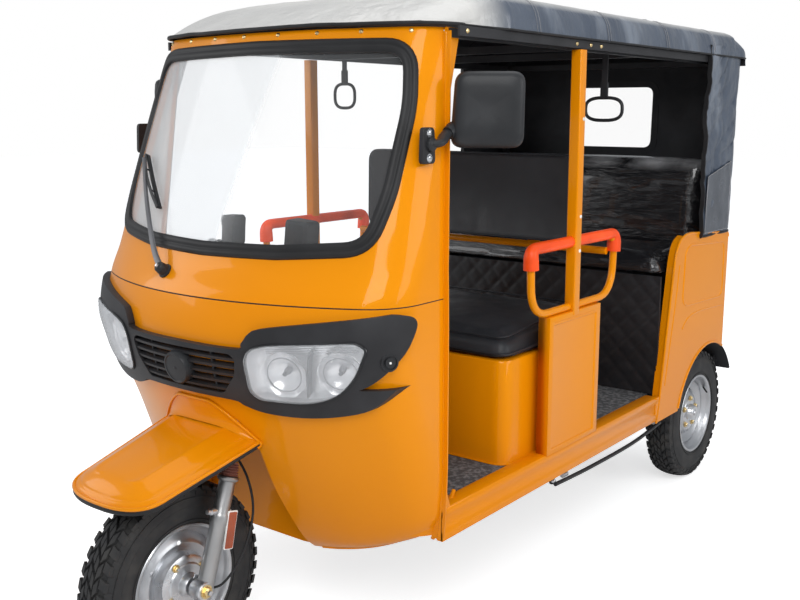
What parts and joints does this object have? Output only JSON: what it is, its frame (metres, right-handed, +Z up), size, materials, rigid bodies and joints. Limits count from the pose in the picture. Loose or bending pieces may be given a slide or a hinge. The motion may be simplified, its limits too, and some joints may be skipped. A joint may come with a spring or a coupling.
{
  "type": "auto rickshaw",
  "caption": "Open-sided passenger auto rickshaw with a moulded cab, driver's seat, rear bench and soft canopy; its front wheel steers and its wheels roll.",
  "frame": {"origin": "on the floor, midway between the axles and between the sides", "axes": "+Z up, front of the vehicle towards -Y, +X the vehicle's left side"},
  "size_m": [1.4752, 2.924, 1.88],
  "materials": {
    "body_orange": "gloss",
    "chassis_black": "satin",
    "floor_mat": "matt, textured",
    "rubber_black": "satin",
    "clear_glass": "clear",
    "plastic_black": "matt",
    "lamp_lens": "clear over chrome",
    "lamp_red": "gloss",
    "steel_bright": "bright",
    "grip_red": "satin",
    "vinyl_black": "satin vinyl",
    "quilted_black": "diamond-stitched vinyl",
    "canopy_vinyl": "satin coated cloth",
    "cast_metal": "matt",
    "alloy_silver": "satin",
    "tyre_black": "matt",
    "steel_grey": "satin"
  },
  "bodies": {
    "body": {"chassis_frame": "chassis_black", "floor_pan": "floor_mat", "sills": "body_orange", "cab_lower_shell": "body_orange", "wheel_well": "body_orange", "cab_upper_shell": "body_orange", "windscreen_seal": "rubber_black", "windscreen_glass": "clear_glass", "headlamp_band": "plastic_black", "headlamps": "lamp_lens", "front_mudguard": "body_orange", "wiper": "steel_bright", "mirrors": "plastic_black", "centre_posts": "body_orange", "handrails": "body_orange", "handrail_grips": "grip_red", "driver_seat_box": "body_orange", "driver_seat_cushion": "vinyl_black", "driver_backrest": "vinyl_black", "backrest_frame": "body_orange", "rear_bench_base": "quilted_black", "rear_bench_cushion": "vinyl_black", "rear_bench_backrest": "vinyl_black", "quarter_panel_left": "body_orange", "quarter_panel_right": "body_orange", "tail_panel": "body_orange", "tail_lamps": "lamp_red", "rear_bumper": "chassis_black", "canopy_roof": "canopy_vinyl", "canopy_curtain": "canopy_vinyl", "rear_window": "clear_glass", "canopy_frame": "chassis_black", "grab_straps": "plastic_black", "engine_block": "cast_metal", "rear_axle": "chassis_black", "brake_rod": "chassis_black"},
    "steering": {"front_fork": "alloy_silver", "handlebar": "plastic_black", "front_brake_cable": "rubber_black"},
    "wheel_front": {"front_tyre": "tyre_black", "front_wheel": "steel_grey"},
    "wheel_rear_left": {"rear_tyre_left": "tyre_black", "rear_wheel_left": "steel_grey"},
    "wheel_rear_right": {"rear_tyre_right": "tyre_black", "rear_wheel_right": "steel_grey"}
  },
  "joints": [
    {"name": "steering_turn", "type": "hinge", "parent": "body", "child": "steering", "pos_m": [0, -1.133, 0.277], "axis": [0, 0.2215, 0.9751], "range_deg": [-30, 30]},
    {"name": "front_wheel_spin", "type": "hinge", "parent": "steering", "child": "wheel_front", "pos_m": [0, -1.185, 0.277], "axis": [1, 0, 0], "continuous": true},
    {"name": "rear_left_wheel_spin", "type": "hinge", "parent": "body", "child": "wheel_rear_left", "pos_m": [0.484, 1.185, 0.277], "axis": [1, 0, 0], "continuous": true},
    {"name": "rear_right_wheel_spin", "type": "hinge", "parent": "body", "child": "wheel_rear_right", "pos_m": [-0.484, 1.185, 0.277], "axis": [1, 0, 0], "continuous": true}
  ]
}
